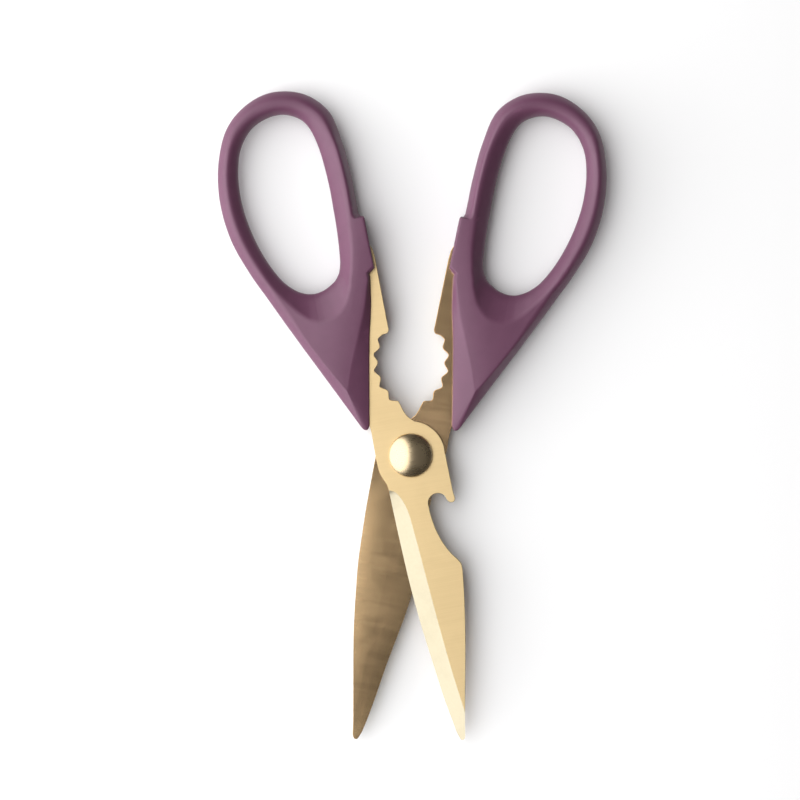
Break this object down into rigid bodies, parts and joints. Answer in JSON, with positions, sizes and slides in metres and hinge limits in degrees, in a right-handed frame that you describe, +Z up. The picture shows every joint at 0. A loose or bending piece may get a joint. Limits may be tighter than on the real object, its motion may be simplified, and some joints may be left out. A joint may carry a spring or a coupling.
{
  "type": "poultry shears",
  "caption": "Kitchen and poultry shears lying open: gold blades with toothed jaws and an opener notch, domed pivot and plum loop handles.",
  "frame": {"origin": "middle of the flat back of the pivot screw's head, which rests on the surface that the shears lie on", "axes": "+Z up, along the pivot's axis; +Y from the pivot towards the finger loops; +X towards the rear half's loop"},
  "size_m": [0.1284, 0.2136, 0.0119],
  "materials": {
    "blade_steel": "satin gold-coloured coating over fine brushing",
    "pivot_steel": "polished gold-coloured coating",
    "handle_plastic": "matte plum purple, fine moulded texture",
    "washer_plastic": "smooth black acetal",
    "spring_steel": "plain spring steel"
  },
  "bodies": {
    "rear_half": {"rear_blade": "blade_steel", "rear_handle": "handle_plastic", "friction_washer": "washer_plastic", "spring_washer": "spring_steel"},
    "front_half": {"front_blade": "blade_steel", "front_handle": "handle_plastic", "pivot_nut": "pivot_steel", "pivot_screw": "pivot_steel"}
  },
  "joints": [
    {"name": "pivot", "type": "hinge", "parent": "rear_half", "child": "front_half", "pos_m": [0, 0, 0], "axis": [0, 0, 1], "range_deg": [-22.4, 60]}
  ]
}
